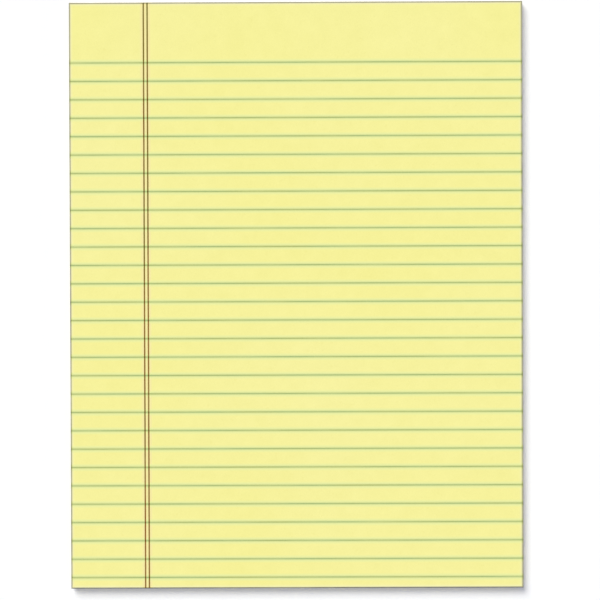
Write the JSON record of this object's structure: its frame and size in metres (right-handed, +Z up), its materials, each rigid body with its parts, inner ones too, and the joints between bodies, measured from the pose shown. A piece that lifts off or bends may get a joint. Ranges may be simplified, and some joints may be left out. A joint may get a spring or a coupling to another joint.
{
  "type": "writing pad",
  "caption": "Flat writing pad: a block of ruled yellow sheets with margin lines on a chipboard back, glued along the top edge so that sheets tear off.",
  "frame": {"origin": "middle of the pad's underside, on the surface that it lies on", "axes": "+X to the right of the page, +Y towards the glued top edge, +Z up out of the page"},
  "size_m": [0.216, 0.2798, 0.0049],
  "materials": {
    "canary_paper": "matte",
    "chipboard": "matte",
    "padding_glue": "satin",
    "ruling_ink": "matte",
    "margin_ink": "matte"
  },
  "bodies": {
    "root": {"backing_board": "chipboard", "page_block": "canary_paper", "glue_strip": "padding_glue", "ruled_lines": "ruling_ink", "margin_lines": "margin_ink"}
  },
  "joints": []
}
